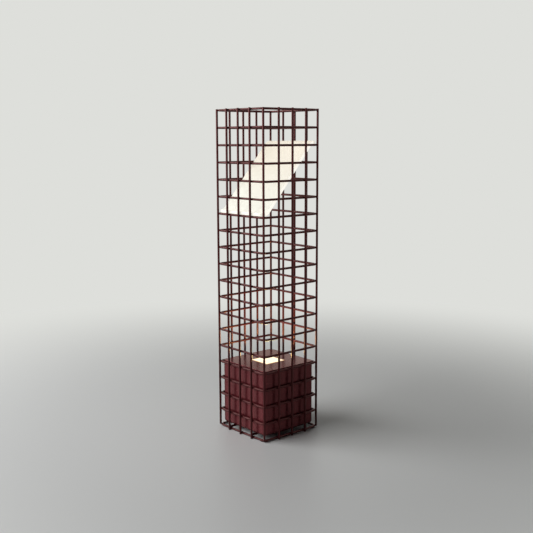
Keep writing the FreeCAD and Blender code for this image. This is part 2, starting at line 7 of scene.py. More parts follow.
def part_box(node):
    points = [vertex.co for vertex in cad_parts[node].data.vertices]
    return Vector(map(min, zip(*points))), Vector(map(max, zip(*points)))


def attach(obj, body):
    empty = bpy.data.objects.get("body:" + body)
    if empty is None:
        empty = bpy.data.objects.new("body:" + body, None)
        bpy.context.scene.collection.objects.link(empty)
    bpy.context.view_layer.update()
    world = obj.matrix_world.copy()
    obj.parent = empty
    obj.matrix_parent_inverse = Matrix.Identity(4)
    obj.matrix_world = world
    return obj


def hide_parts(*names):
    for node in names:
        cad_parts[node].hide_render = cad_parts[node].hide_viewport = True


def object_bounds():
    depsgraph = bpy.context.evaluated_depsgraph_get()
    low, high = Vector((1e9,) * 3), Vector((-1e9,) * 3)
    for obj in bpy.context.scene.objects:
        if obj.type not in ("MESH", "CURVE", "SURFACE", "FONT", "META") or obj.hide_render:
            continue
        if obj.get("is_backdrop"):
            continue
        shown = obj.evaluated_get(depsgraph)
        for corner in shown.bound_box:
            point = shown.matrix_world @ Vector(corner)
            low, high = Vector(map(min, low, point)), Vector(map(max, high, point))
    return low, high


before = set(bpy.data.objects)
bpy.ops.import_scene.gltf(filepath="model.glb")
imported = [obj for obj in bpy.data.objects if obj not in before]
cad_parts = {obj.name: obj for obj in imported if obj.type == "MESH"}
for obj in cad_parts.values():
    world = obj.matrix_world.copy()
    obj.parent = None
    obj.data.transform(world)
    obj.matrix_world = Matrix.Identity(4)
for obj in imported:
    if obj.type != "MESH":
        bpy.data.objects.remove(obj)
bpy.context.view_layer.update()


# Hoops: twenty square loops of round mild-steel wire, each bent round a former and butt welded shut.
# They are stacked at an even pitch inside the uprights, and the welded cage is powder coated burgundy.
MM = 0.001
WIRE_SIDES = 14
HOOP_CORNER_R = 8 * MM
HOOP_CORNER_STEPS = 8
JOIN_GAP = 0.005 * MM
SHARP_ANGLE = math.radians(35)
HOOPS = ["hoop_%02d" % number for number in range(1, 21)]
wire_low, wire_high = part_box("corner_post_front_left")
WIRE_R = (wire_high.x - wire_low.x) / 2
HOOP_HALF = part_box(HOOPS[0])[1].x - WIRE_R
CAGE_COLOUR = "#48171b"
CAGE_DEEP_COLOUR = "#3a1115"
CAGE_GLINT_COLOUR = "#ffd0c4"
CAGE_ROUGHNESS = 0.34
CAGE_FLAKE = 0.28
CAGE_SHEEN = 0.35
COAT_IOR = 1.5
PEEL_SIZE = 3.5 * MM
PEEL_DEPTH = 0.12 * MM
PEEL_STRENGTH = 0.15
SATIN_SPREAD = 0.05
FLECK_SIZE = 0.9 * MM
FLECK_DARKEST = 0.94
FLECK_LIGHTEST = 1.05
CLOUD_SIZE = 70 * MM
NOISE_LOW = 0.3
NOISE_HIGH = 0.7


def linear(hex_colour):
    """A linear colour with alpha from an sRGB hex value."""
    parts = [int(hex_colour[i:i + 2], 16) / 255 for i in (1, 3, 5)]
    return [p / 12.92 if p <= 0.04045 else ((p + 0.055) / 1.055) ** 2.4 for p in parts] + [1.0]


def add_node(material, kind, settings=None, values=None, links=None):
    """Adds one shader node: its settings, its socket values, and the sockets that feed it."""
    node = material.node_tree.nodes.new(kind)
    for name, value in (settings or {}).items():
        setattr(node, name, value)
    for socket, value in (values or {}).items():
        node.inputs[socket].default_value = value
    for socket, source in (links or {}).items():
        material.node_tree.links.new(source, node.inputs[socket])
    return node


def start_material(name, values):
    """A new material with the constant sockets of its surface shader set; returns it and the shader."""
    material = bpy.data.materials.new(name)
    material.use_nodes = True
    surface = material.node_tree.nodes["Principled BSDF"]
    for socket, value in values.items():
        surface.inputs[socket].default_value = value
    return material, surface


def powder_coat(name, colour, deep_colour, glint_colour, roughness, flake, sheen):
    """Baked polyester powder on steel: satin, with a slight orange peel and cloudy depth of colour.
    Fine metal flake in it tints what it mirrors; on round wire the flakes lie at all angles and show
    less. Real peel is under 2 mm across, so it is drawn at PEEL_SIZE to show at all."""
    material, surface = start_material(name, {
        "IOR": COAT_IOR, "Specular IOR Level": sheen, "Specular Tint": linear(glint_colour),
        "Metallic": flake})
    place = add_node(material, "ShaderNodeTexCoord").outputs["Object"]
    cloud = add_node(material, "ShaderNodeTexNoise", values={"Scale": 1 / CLOUD_SIZE, "Detail": 3.0},
                     links={"Vector": place})
    peel = add_node(material, "ShaderNodeTexNoise", values={"Scale": 1 / PEEL_SIZE, "Detail": 2.0},
                    links={"Vector": place})
    fleck = add_node(material, "ShaderNodeTexNoise", values={"Scale": 1 / FLECK_SIZE, "Detail": 1.0},
                     links={"Vector": place})
    shade = add_node(material, "ShaderNodeMix", {"data_type": "RGBA"},
                     {6: linear(deep_colour), 7: linear(colour)}, {"Factor": cloud.outputs["Fac"]})
    grain = add_node(material, "ShaderNodeMapRange",
                     values={"From Min": NOISE_LOW, "From Max": NOISE_HIGH,
                             "To Min": FLECK_DARKEST, "To Max": FLECK_LIGHTEST},
                     links={"Value": fleck.outputs["Fac"]})
    tint = add_node(material, "ShaderNodeVectorMath", {"operation": "SCALE"},
                    links={"Vector": shade.outputs[2], "Scale": grain.outputs["Result"]})
    satin = add_node(material, "ShaderNodeMapRange",
                     values={"From Min": NOISE_LOW, "From Max": NOISE_HIGH,
                             "To Min": roughness - SATIN_SPREAD, "To Max": roughness + SATIN_SPREAD},
                     links={"Value": peel.outputs["Fac"]})
    bump = add_node(material, "ShaderNodeBump", values={"Strength": PEEL_STRENGTH, "Distance": PEEL_DEPTH},
                    links={"Height": peel.outputs["Fac"]})
    links = material.node_tree.links
    links.new(tint.outputs["Vector"], surface.inputs["Base Color"])
    links.new(satin.outputs["Result"], surface.inputs["Roughness"])
    links.new(bump.outputs["Normal"], surface.inputs["Normal"])
    return material


def finish_piece(name, form, material, body, nodes):
    """Makes a piece of a bmesh: closed, facing outwards, riding on a body in place of its CAD nodes."""
    bmesh.ops.recalc_face_normals(form, faces=form.faces)
    mesh = bpy.data.meshes.new(name)
    form.to_mesh(mesh)
    form.free()
    mesh.materials.append(material)
    mesh.shade_smooth()
    mesh.set_sharp_from_angle(angle=SHARP_ANGLE)
    piece = bpy.data.objects.new(name, mesh)
    bpy.context.scene.collection.objects.link(piece)
    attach(piece, body)
    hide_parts(*nodes)
    return piece


def ring_edges(ring):
    """The edges that join a ring's own points, each once, in the points' order."""
    return list(dict.fromkeys(edge for point in ring for edge in point.link_edges
                              if edge.other_vert(point) in ring))


def points_of(geometry):
    """The points among what an operator gives back."""
    return [item for item in geometry if isinstance(item, bmesh.types.BMVert)]


def bend_hoop(form, z):
    """One closed hoop: a wire's ring run along four straight sides and swung round four corners."""
    straight = HOOP_HALF - HOOP_CORNER_R
    start = Matrix.Translation((HOOP_HALF, -straight, z)) @ Matrix.Rotation(math.pi / 2, 4, "X")
    ring = bmesh.ops.create_circle(form, segments=WIRE_SIDES, radius=WIRE_R, matrix=start)["verts"]
    for quarter in range(4):
        turn = Matrix.Rotation(quarter * math.pi / 2, 3, "Z")
        ring = points_of(bmesh.ops.extrude_edge_only(form, edges=ring_edges(ring))["geom"])
        bmesh.ops.translate(form, verts=ring, vec=turn @ Vector((0, 2 * straight, 0)))
        pivot = turn @ Vector((straight, straight, z))
        ring = points_of(bmesh.ops.spin(form, geom=ring_edges(ring), cent=pivot, axis=(0, 0, 1),
                                        angle=math.pi / 2, steps=HOOP_CORNER_STEPS)["geom_last"])


cage_paint = powder_coat("burgundy_powder_coat_on_wire", CAGE_COLOUR, CAGE_DEEP_COLOUR, CAGE_GLINT_COLOUR,
                         CAGE_ROUGHNESS, CAGE_FLAKE, CAGE_SHEEN)
hoops = bmesh.new()
hoop_levels = []
for hoop_name in HOOPS:
    hoop_low, hoop_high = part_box(hoop_name)
    hoop_levels.append((hoop_low.z + hoop_high.z) / 2)
    bend_hoop(hoops, hoop_levels[-1])
bmesh.ops.remove_doubles(hoops, verts=hoops.verts, dist=JOIN_GAP)
finish_piece("cage_hoops", hoops, cage_paint, "lamp", HOOPS)


# Uprights: sixteen straight wires outside the hoops, four at the corners and three on each face.
# They are cut from coil, and resistance welded to every hoop, which leaves a small pressed collar at
# each crossing. The coat rounds their sheared ends, and the lamp stands on twelve of them.
UPRIGHTS = ["corner_post_%s_%s" % (depth, side) for depth in ("front", "back") for side in ("left", "right")]
UPRIGHTS += ["%s_post_%s" % (face, place) for face in ("front", "back")
             for place in ("left", "middle", "right")]
UPRIGHTS += ["%s_post_%s" % (face, place) for face in ("left", "right")
             for place in ("front", "middle", "back")]
CUT_END_R = 0.35 * MM
CUT_END_STEPS = 2
OUTER_PLACE = -wire_high.y
WELD_HALF_WIDTH = 1.1 * WIRE_R
WELD_HALF_DEPTH = 0.5 * WIRE_R
WELD_SIDES = 8
WELD_RINGS = 5
uprights = bmesh.new()
for upright_name in UPRIGHTS:
    low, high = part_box(upright_name)
    middle = (low + high) / 2
    rod = bmesh.ops.create_cone(uprights, cap_ends=True, segments=WIRE_SIDES, radius1=WIRE_R, radius2=WIRE_R,
                                depth=high.z - low.z, matrix=Matrix.Translation(middle))["verts"]
    rod_edges = dict.fromkeys(edge for point in rod for edge in point.link_edges)
    ends = [edge for edge in rod_edges if abs(edge.verts[0].co.z - edge.verts[1].co.z) < JOIN_GAP]
    bmesh.ops.bevel(uprights, geom=ends, offset=CUT_END_R, offset_type="OFFSET", affect="EDGES",
                    segments=CUT_END_STEPS, profile=0.5, material=-1)
    outward = Vector([math.copysign(1, p) if abs(p) > OUTER_PLACE else 0 for p in middle.xy] + [0])
    outward.normalize()
    flatten = outward.to_track_quat("Z", "Y").to_matrix().to_4x4()
    flatten @= Matrix.Diagonal((WELD_HALF_WIDTH, WELD_HALF_WIDTH, WELD_HALF_DEPTH, 1))
    for level in hoop_levels:
        crossing = Vector((middle.x, middle.y, level)) - outward * WIRE_R
        bmesh.ops.create_uvsphere(uprights, u_segments=WELD_SIDES, v_segments=WELD_RINGS, radius=1,
                                  matrix=Matrix.Translation(crossing) @ flatten)
finish_piece("cage_uprights", uprights, cage_paint, "lamp", UPRIGHTS)


# Cradle: two straight wires welded across the lowest hoop, coated with the cage. Pressed saddles of
# zinc-plated strip hold the light box's floor to them, each with two screws.
ZINC_COLOUR = "#b4b7ba"
ZINC_WARM_COLOUR = "#bcb5a4"
SPANGLE_SIZE = 5 * MM
ROLL_MARK_SIZE = 0.6 * MM
ZINC_SMOOTHEST = 0.28
ZINC_ROUGHEST = 0.48
STRAP_X = 30 * MM
STRAP_Y = 44 * MM
STRAP_SCREW_X = 6.2 * MM
M3_R = 1.5 * MM
M3_HEAD_R = 2.75 * MM
M3_HEAD_H = 2 * MM
SCREW_SIDES = 12
SCREW_RIM_SHARE = 0.35
SCREW_RIM_STEPS = 3
SCREW_LAND_SHARE = 0.22
SCREW_SOCKET_SHARE = 0.55


def dress(material, *nodes):
    """Gives CAD nodes a finished material in place of their plain one."""
    for node in nodes:
        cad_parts[node].material_slots[0].material = material


def plated_steel(name):
    """Zinc plate over cold-rolled steel: bright, faintly mottled by its passivation, with fine roll marks."""
    material, surface = start_material(name, {"Metallic": 1.0})
    place = add_node(material, "ShaderNodeTexCoord").outputs["Object"]
    mottle = add_node(material, "ShaderNodeTexNoise", values={"Scale": 1 / SPANGLE_SIZE, "Detail": 2.0},
                      links={"Vector": place})
    marks = add_node(material, "ShaderNodeTexNoise", values={"Scale": 1 / ROLL_MARK_SIZE, "Detail": 1.0},
                     links={"Vector": place})
    colour = add_node(material, "ShaderNodeMix", {"data_type": "RGBA"},
                      {6: linear(ZINC_COLOUR), 7: linear(ZINC_WARM_COLOUR)},
                      {"Factor": mottle.outputs["Fac"]})
    shine = add_node(material, "ShaderNodeMapRange",
                     values={"To Min": ZINC_SMOOTHEST, "To Max": ZINC_ROUGHEST},
                     links={"Value": marks.outputs["Fac"]})
    links = material.node_tree.links
    links.new(colour.outputs[2], surface.inputs["Base Color"])
    links.new(shine.outputs["Result"], surface.inputs["Roughness"])
    return material


def turn_screw(head_r, head_h, shank_r, length):
    """One pan-head screw on the Z axis, its head below the origin: eased rim, sunk socket and shank."""
    form = bmesh.new()
    bmesh.ops.create_cone(form, cap_ends=True, segments=SCREW_SIDES, radius1=head_r, radius2=head_r,
                          depth=head_h, matrix=Matrix.Translation((0, 0, -head_h / 2)))
    rim = [edge for edge in form.edges if max(point.co.z for point in edge.verts) < JOIN_GAP - head_h]
    bmesh.ops.bevel(form, geom=rim, offset=SCREW_RIM_SHARE * head_h, offset_type="OFFSET", affect="EDGES",
                    segments=SCREW_RIM_STEPS, profile=0.5, material=-1)
    crown = [min(form.faces, key=lambda face: face.calc_center_median().z)]
    bmesh.ops.inset_individual(form, faces=crown, thickness=SCREW_LAND_SHARE * head_r)
    bmesh.ops.inset_individual(form, faces=crown, thickness=JOIN_GAP, depth=-SCREW_SOCKET_SHARE * head_h)
    bmesh.ops.create_cone(form, cap_ends=True, segments=SCREW_SIDES, radius1=shank_r, radius2=shank_r,
                          depth=length, matrix=Matrix.Translation((0, 0, length / 2)))
    return form


def set_screws(name, screw, places):
    """Copies a finished screw to each of its places, and makes one piece of them."""
    first = screw.verts[:] + screw.edges[:] + screw.faces[:]
    for place in places[1:]:
        copy = points_of(bmesh.ops.duplicate(screw, geom=first)["geom"])
        bmesh.ops.translate(screw, verts=copy, vec=Vector(place))
    bmesh.ops.translate(screw, verts=points_of(first), vec=Vector(places[0]))
    finish_piece(name, screw, zinc, "lamp", [name])


zinc = plated_steel("zinc_plated_steel")
dress(cage_paint, "cradle_wires")
dress(zinc, "cradle_straps")
cradle_low, cradle_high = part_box("cradle_screws")
strap_screw = turn_screw(M3_HEAD_R, M3_HEAD_H, M3_R, cradle_high.z - cradle_low.z - M3_HEAD_H)
set_screws("cradle_screws", strap_screw, [
    (side * STRAP_X + ear * STRAP_SCREW_X, end * STRAP_Y, cradle_low.z + M3_HEAD_H)
    for side in (-1, 1) for ear in (-1, 1) for end in (-1, 1)])


# Light box: a steel tub drawn in one piece, with soft upright corners and a rounded foot, and a flat
# lid that sits flush on its rim. Both are powder coated like the cage, but smoother on the flat steel,
# so that the wires in front show in them as dark bands.
BOX_COLOUR = "#6b2a30"
BOX_DEEP_COLOUR = "#5d2429"
BOX_GLINT_COLOUR = "#f4d8cc"
BOX_ROUGHNESS = 0.23
BOX_FLAKE = 0.45
BOX_SHEEN = 0.4
LID_POST_PLACE = (48 * MM, 48 * MM)
TRAY_BOSS_PLACE = (46 * MM, 20 * MM)
M4_R = 2 * MM
M4_HEAD_R = 3.6 * MM
M4_HEAD_H = 2.4 * MM
box_paint = powder_coat("burgundy_powder_coat_on_sheet_steel", BOX_COLOUR, BOX_DEEP_COLOUR, BOX_GLINT_COLOUR,
                        BOX_ROUGHNESS, BOX_FLAKE, BOX_SHEEN)
dress(box_paint, "light_box_tub", "top_plate")
dress(zinc, "lid_posts")
base_low, base_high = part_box("base_screws")
base_screw = turn_screw(M4_HEAD_R, M4_HEAD_H, M4_R, base_high.z - base_low.z - M4_HEAD_H)
set_screws("base_screws", base_screw, [
    (side * x, end * y, base_low.z + M4_HEAD_H)
    for x, y in (LID_POST_PLACE, TRAY_BOSS_PLACE) for side in (-1, 1) for end in (-1, 1)])


# Battery: three round cells in plain shrink sleeves, lying side by side in a tray. The tray is moulded in
# black nylon, and four screws through the tub's floor hold it by its bosses.
SLEEVE_COLOUR = "#1f4f7c"
CAN_COLOUR = "#c3c4c4"
SLEEVE_END_X = 34.2 * MM
SLEEVE_CREASE = 1.4 * MM
SLEEVE_SMOOTHEST = 0.25
SLEEVE_ROUGHEST = 0.45
SLEEVE_IOR = 1.5
BLACK_COLOUR = "#151618"
BLACK_WORN_COLOUR = "#1f2022"
NYLON_IOR = 1.53
NYLON_SMOOTHEST = 0.5
NYLON_ROUGHEST = 0.7
SPARK_SIZE = 0.5 * MM
SPARK_DEPTH = 0.05 * MM
SPARK_STRENGTH = 0.3


def black_moulding(name):
    """Glass-filled nylon: matt black from a spark-eroded mould, with a fine even pebble."""
    material, surface = start_material(name, {"IOR": NYLON_IOR})
    place = add_node(material, "ShaderNodeTexCoord").outputs["Object"]
    pebble = add_node(material, "ShaderNodeTexNoise", values={"Scale": 1 / SPARK_SIZE, "Detail": 2.0},
                      links={"Vector": place})
    colour = add_node(material, "ShaderNodeMix", {"data_type": "RGBA"},
                      {6: linear(BLACK_COLOUR), 7: linear(BLACK_WORN_COLOUR)},
                      {"Factor": pebble.outputs["Fac"]})
    matt = add_node(material, "ShaderNodeMapRange",
                    values={"To Min": NYLON_SMOOTHEST, "To Max": NYLON_ROUGHEST},
                    links={"Value": pebble.outputs["Fac"]})
    bump = add_node(material, "ShaderNodeBump", values={"Strength": SPARK_STRENGTH, "Distance": SPARK_DEPTH},
                    links={"Height": pebble.outputs["Fac"]})
    links = material.node_tree.links
    links.new(colour.outputs[2], surface.inputs["Base Color"])
    links.new(matt.outputs["Result"], surface.inputs["Roughness"])
    links.new(bump.outputs["Normal"], surface.inputs["Normal"])
    return material


black_nylon = black_moulding("black_glass_filled_nylon")
dress(black_nylon, "battery_tray", "button_switch")

# The sleeve stops short of each end and leaves the bare can; heat leaves faint creases round it.
cell_sleeve, cell_surface = start_material("shrink_sleeve_on_steel_can", {"IOR": SLEEVE_IOR})
cell_place = add_node(cell_sleeve, "ShaderNodeTexCoord").outputs["Object"]
cell_axes = add_node(cell_sleeve, "ShaderNodeSeparateXYZ", links={"Vector": cell_place})
cell_reach = add_node(cell_sleeve, "ShaderNodeMath", {"operation": "ABSOLUTE"},
                      links={0: cell_axes.outputs["X"]})
cell_bare = add_node(cell_sleeve, "ShaderNodeMath", {"operation": "GREATER_THAN"}, {1: SLEEVE_END_X},
                     {0: cell_reach.outputs[0]})
cell_crease = add_node(cell_sleeve, "ShaderNodeTexNoise", values={"Scale": 1 / SLEEVE_CREASE, "Detail": 1.0},
                       links={"Vector": cell_place})
cell_colour = add_node(cell_sleeve, "ShaderNodeMix", {"data_type": "RGBA"},
                       {6: linear(SLEEVE_COLOUR), 7: linear(CAN_COLOUR)}, {"Factor": cell_bare.outputs[0]})
cell_shine = add_node(cell_sleeve, "ShaderNodeMapRange",
                      values={"To Min": SLEEVE_SMOOTHEST, "To Max": SLEEVE_ROUGHEST},
                      links={"Value": cell_crease.outputs["Fac"]})
cell_sleeve.node_tree.links.new(cell_colour.outputs[2], cell_surface.inputs["Base Color"])
cell_sleeve.node_tree.links.new(cell_bare.outputs[0], cell_surface.inputs["Metallic"])
cell_sleeve.node_tree.links.new(cell_shine.outputs["Result"], cell_surface.inputs["Roughness"])
dress(cell_sleeve, "battery_cells")


# Control board: a glass-fibre board on four tapped standoffs inside the back wall, with a small push
# switch and the charging socket. Green solder mask lies thicker over its copper tracks.
MASK_COLOUR = "#14502f"
TRACK_COLOUR = "#1f6e41"
TRACK_PITCH = 2.5 * MM
TRACK_WIDTH = 0.2 * MM
TRACK_RUN = 15 * MM
TRACK_STAGGER = 0.35
MASK_IOR = 1.55
MASK_ROUGHNESS = 0.35
MASK_STEP = 0.04 * MM
MASK_STRENGTH = 0.4
board_mask, board_surface = start_material("green_solder_mask_on_glass_fibre", {
    "IOR": MASK_IOR, "Roughness": MASK_ROUGHNESS})
board_place = add_node(board_mask, "ShaderNodeTexCoord").outputs["Object"]
board_flat = add_node(board_mask, "ShaderNodeMapping", values={"Rotation": (math.pi / 2, 0, 0)},
                      links={"Vector": board_place})
board_tracks = add_node(board_mask, "ShaderNodeTexBrick", {"offset": TRACK_STAGGER},
                        {"Color1": linear(MASK_COLOUR), "Color2": linear(MASK_COLOUR),
                         "Mortar": linear(TRACK_COLOUR), "Scale": 1 / TRACK_PITCH,
                         "Mortar Size": TRACK_WIDTH / TRACK_PITCH,
                         "Brick Width": TRACK_RUN / TRACK_PITCH, "Row Height": 1.0},
                        {"Vector": board_flat.outputs["Vector"]})
board_bump = add_node(board_mask, "ShaderNodeBump", values={"Strength": MASK_STRENGTH, "Distance": MASK_STEP},
                      links={"Height": board_tracks.outputs["Fac"]})
board_mask.node_tree.links.new(board_tracks.outputs["Color"], board_surface.inputs["Base Color"])
board_mask.node_tree.links.new(board_bump.outputs["Normal"], board_surface.inputs["Normal"])
dress(board_mask, "control_board")
dress(zinc, "board_standoffs", "board_screws", "charge_port")


# Lamp head: an extruded heat sink, the emitter's board and a square white cup, clamped up under the lid
# by four long screws. The cup's sloping sides throw the light to the window.
ALUMINIUM_COLOUR = "#c6c8c9"
DRAW_LINE_SIZE = 0.5 * MM
DRAW_LINE_LENGTH = 40 * MM
DRAW_LINE_DARKEST = 0.85
DRAW_LINE_LIGHTEST = 1.1
DRAWN_SMOOTHEST = 0.3
DRAWN_ROUGHEST = 0.5
CUP_COLOUR = "#f0efea"
CUP_SHADE_COLOUR = "#e6e4dd"
FLOW_SIZE = 9 * MM
LED_MASK_COLOUR = "#eceae4"
LED_COPPER_COLOUR = "#dcd8cd"
LED_TRACK_SIZE = 7 * MM
PHOSPHOR_COLOUR = "#e8bf3a"
PHOSPHOR_DEEP_COLOUR = "#d9a81f"
PHOSPHOR_GRAIN = 0.8 * MM
PATCH_DEPTH = 0.05 * MM
PATCH_STRENGTH = 0.15
HEAD_SCREW_PLACE = 23 * MM

# The die leaves fine bright and dull lines along the fins.
aluminium, aluminium_surface = start_material("extruded_aluminium", {"Metallic": 1.0})
sink_place = add_node(aluminium, "ShaderNodeTexCoord").outputs["Object"]
sink_drawn = add_node(aluminium, "ShaderNodeMapping",
                      values={"Scale": (1 / DRAW_LINE_SIZE, 1 / DRAW_LINE_LENGTH, 1 / DRAW_LINE_SIZE)},
                      links={"Vector": sink_place})
sink_lines = add_node(aluminium, "ShaderNodeTexNoise", values={"Scale": 1.0, "Detail": 2.0},
                      links={"Vector": sink_drawn.outputs["Vector"]})
sink_value = add_node(aluminium, "ShaderNodeMapRange",
                      values={"To Min": DRAW_LINE_DARKEST, "To Max": DRAW_LINE_LIGHTEST},
                      links={"Value": sink_lines.outputs["Fac"]})
sink_colour = add_node(aluminium, "ShaderNodeHueSaturation", values={"Color": linear(ALUMINIUM_COLOUR)},
                       links={"Value": sink_value.outputs["Result"]})
sink_shine = add_node(aluminium, "ShaderNodeMapRange",
                      values={"To Min": DRAWN_SMOOTHEST, "To Max": DRAWN_ROUGHEST},
                      links={"Value": sink_lines.outputs["Fac"]})
aluminium.node_tree.links.new(sink_colour.outputs["Color"], aluminium_surface.inputs["Base Color"])
aluminium.node_tree.links.new(sink_shine.outputs["Result"], aluminium_surface.inputs["Roughness"])
dress(aluminium, "heat_sink")
sink_low, sink_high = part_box("head_screws")
head_screw = turn_screw(M3_HEAD_R, M3_HEAD_H, M3_R, sink_high.z - sink_low.z - M3_HEAD_H)
set_screws("head_screws", head_screw, [
    (side * HEAD_SCREW_PLACE, end * HEAD_SCREW_PLACE, sink_low.z + M3_HEAD_H)
    for side in (-1, 1) for end in (-1, 1)])


def two_tone(name, colour, other_colour, size, roughness, ior):
    """A plain moulded or printed surface: two near shades in soft patches of a given size."""
    material, surface = start_material(name, {"IOR": ior, "Roughness": roughness})
    place = add_node(material, "ShaderNodeTexCoord").outputs["Object"]
    patch = add_node(material, "ShaderNodeTexNoise", values={"Scale": 1 / size, "Detail": 2.0},
                     links={"Vector": place})
    shade = add_node(material, "ShaderNodeMix", {"data_type": "RGBA"},
                     {6: linear(colour), 7: linear(other_colour)}, {"Factor": patch.outputs["Fac"]})
    bump = add_node(material, "ShaderNodeBump", values={"Strength": PATCH_STRENGTH, "Distance": PATCH_DEPTH},
                    links={"Height": patch.outputs["Fac"]})
    material.node_tree.links.new(shade.outputs[2], surface.inputs["Base Color"])
    material.node_tree.links.new(bump.outputs["Normal"], surface.inputs["Normal"])
    return material


# The cup shows faint flow marks, the board's mask its copper, and the gel its grains of phosphor.
cup_white = two_tone("gloss_white_polycarbonate", CUP_COLOUR, CUP_SHADE_COLOUR, FLOW_SIZE,
                     roughness=0.3, ior=1.58)
led_white = two_tone("white_solder_mask", LED_MASK_COLOUR, LED_COPPER_COLOUR, LED_TRACK_SIZE,
                     roughness=0.4, ior=1.55)
phosphor = two_tone("phosphor_gel", PHOSPHOR_COLOUR, PHOSPHOR_DEEP_COLOUR, PHOSPHOR_GRAIN,
                    roughness=0.35, ior=1.41)
dress(cup_white, "light_cup")
dress(led_white, "led_board")
dress(phosphor, "led_emitter")


# Light window: a pane of frosted acrylic in the lid, lit from below. It glares white, and dims to a
# warm rim where it leaves the cup's mouth and sits on the cup's edge.
WINDOW_COLOUR = "#8d877c"
WINDOW_GLOW_COLOUR = "#ffeccb"
WINDOW_RIM_COLOUR = "#a87430"
WINDOW_GLOW = 1.25
ACRYLIC_IOR = 1.49
FROST_ROUGHNESS = 0.6
WINDOW_RIM_START = 19 * MM
WINDOW_RIM_END = 22 * MM
frosted, frosted_surface = start_material("frosted_acrylic_lit_from_below", {
    "Base Color": linear(WINDOW_COLOUR), "Roughness": FROST_ROUGHNESS, "IOR": ACRYLIC_IOR,
    "Emission Strength": WINDOW_GLOW})
pane_place = add_node(frosted, "ShaderNodeTexCoord").outputs["Object"]
pane_reach = add_node(frosted, "ShaderNodeVectorMath", {"operation": "ABSOLUTE"}, links={0: pane_place})
pane_axes = add_node(frosted, "ShaderNodeSeparateXYZ", links={"Vector": pane_reach.outputs["Vector"]})
pane_far = add_node(frosted, "ShaderNodeMath", {"operation": "MAXIMUM"},
                    links={0: pane_axes.outputs["X"], 1: pane_axes.outputs["Y"]})
pane_rim = add_node(frosted, "ShaderNodeMapRange", {"interpolation_type": "SMOOTHSTEP"},
                    {"From Min": WINDOW_RIM_START, "From Max": WINDOW_RIM_END},
                    {"Value": pane_far.outputs[0]})
pane_glow = add_node(frosted, "ShaderNodeMix", {"data_type": "RGBA"},
                     {6: linear(WINDOW_GLOW_COLOUR), 7: linear(WINDOW_RIM_COLOUR)},
                     {"Factor": pane_rim.outputs["Result"]})
frosted.node_tree.links.new(pane_glow.outputs[2], frosted_surface.inputs["Emission Color"])
dress(frosted, "light_window")


# Button: a small turned cap through the back wall, coated with the box. Its end has a shallow dish for a
# fingertip, and a rim inside the wall keeps it in.
BUTTON_SIDES = 32
BUTTON_RIM_T = 0.8 * MM
BUTTON_R = 4.5 * MM
BUTTON_EDGE_R = 0.5 * MM
BUTTON_EDGE_STEPS = 4
BUTTON_DISH = ((0.45 * MM, -0.02 * MM), (0.9 * MM, -0.16 * MM), (1.1 * MM, -0.1 * MM))
button_paint = powder_coat("burgundy_powder_coat_on_button", BOX_COLOUR, BOX_DEEP_COLOUR, BOX_GLINT_COLOUR,
                           BOX_ROUGHNESS, BOX_FLAKE, BOX_SHEEN)
button_low, button_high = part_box("dimmer_button")
button_middle = (button_low + button_high) / 2
button_turn = Matrix.Rotation(-math.pi / 2, 4, "X")
button = bmesh.new()
bmesh.ops.create_cone(button, cap_ends=True, segments=BUTTON_SIDES, radius1=BUTTON_R, radius2=BUTTON_R,
                      depth=button_high.y - button_low.y,
                      matrix=Matrix.Translation(button_middle) @ button_turn)
button_rim = [e for e in button.edges if min(v.co.y for v in e.verts) > button_high.y - JOIN_GAP]
bmesh.ops.bevel(button, geom=button_rim, offset=BUTTON_EDGE_R, offset_type="OFFSET", affect="EDGES",
                segments=BUTTON_EDGE_STEPS, profile=0.5, material=-1)
button_end = [max(button.faces, key=lambda face: face.calc_center_median().y)]
for step, depth in BUTTON_DISH:
    bmesh.ops.inset_individual(button, faces=button_end, thickness=step, depth=depth)
keeper_place = Vector((button_middle.x, button_low.y + BUTTON_RIM_T / 2, button_middle.z))
keeper_r = (button_high.x - button_low.x) / 2
bmesh.ops.create_cone(button, cap_ends=True, segments=BUTTON_SIDES, radius1=keeper_r, radius2=keeper_r,
                      depth=BUTTON_RIM_T, matrix=Matrix.Translation(keeper_place) @ button_turn)
finish_piece("dimmer_button", button, button_paint, "button", ["dimmer_button"])


# Leads: two pairs of stranded copper wire in soft vinyl sleeves, red for supply and black for return. One
# pair arches from the emitter's board to the control board, the other rises to it from the battery.
LEAD_RED_COLOUR = "#8f1714"
LEAD_BLACK_COLOUR = "#1a1a1b"
LEAD_GRAIN = 1.2 * MM
VINYL_IOR = 1.53
VINYL_SMOOTHEST = 0.4
VINYL_ROUGHEST = 0.6
lead_sleeve, lead_surface = start_material("soft_vinyl_sleeve", {"IOR": VINYL_IOR})
lead_place = add_node(lead_sleeve, "ShaderNodeTexCoord").outputs["Object"]
lead_axes = add_node(lead_sleeve, "ShaderNodeSeparateXYZ", links={"Vector": lead_place})
lead_side = add_node(lead_sleeve, "ShaderNodeMath", {"operation": "GREATER_THAN"}, {1: 0.0},
                     {0: lead_axes.outputs["X"]})
lead_colour = add_node(lead_sleeve, "ShaderNodeMix", {"data_type": "RGBA"},
                       {6: linear(LEAD_BLACK_COLOUR), 7: linear(LEAD_RED_COLOUR)},
                       {"Factor": lead_side.outputs[0]})
lead_grain = add_node(lead_sleeve, "ShaderNodeTexNoise", values={"Scale": 1 / LEAD_GRAIN},
                      links={"Vector": lead_place})
lead_shine = add_node(lead_sleeve, "ShaderNodeMapRange",
                      values={"To Min": VINYL_SMOOTHEST, "To Max": VINYL_ROUGHEST},
                      links={"Value": lead_grain.outputs["Fac"]})
lead_sleeve.node_tree.links.new(lead_colour.outputs[2], lead_surface.inputs["Base Color"])
lead_sleeve.node_tree.links.new(lead_shine.outputs["Result"], lead_surface.inputs["Roughness"])
dress(lead_sleeve, "led_leads", "battery_leads")


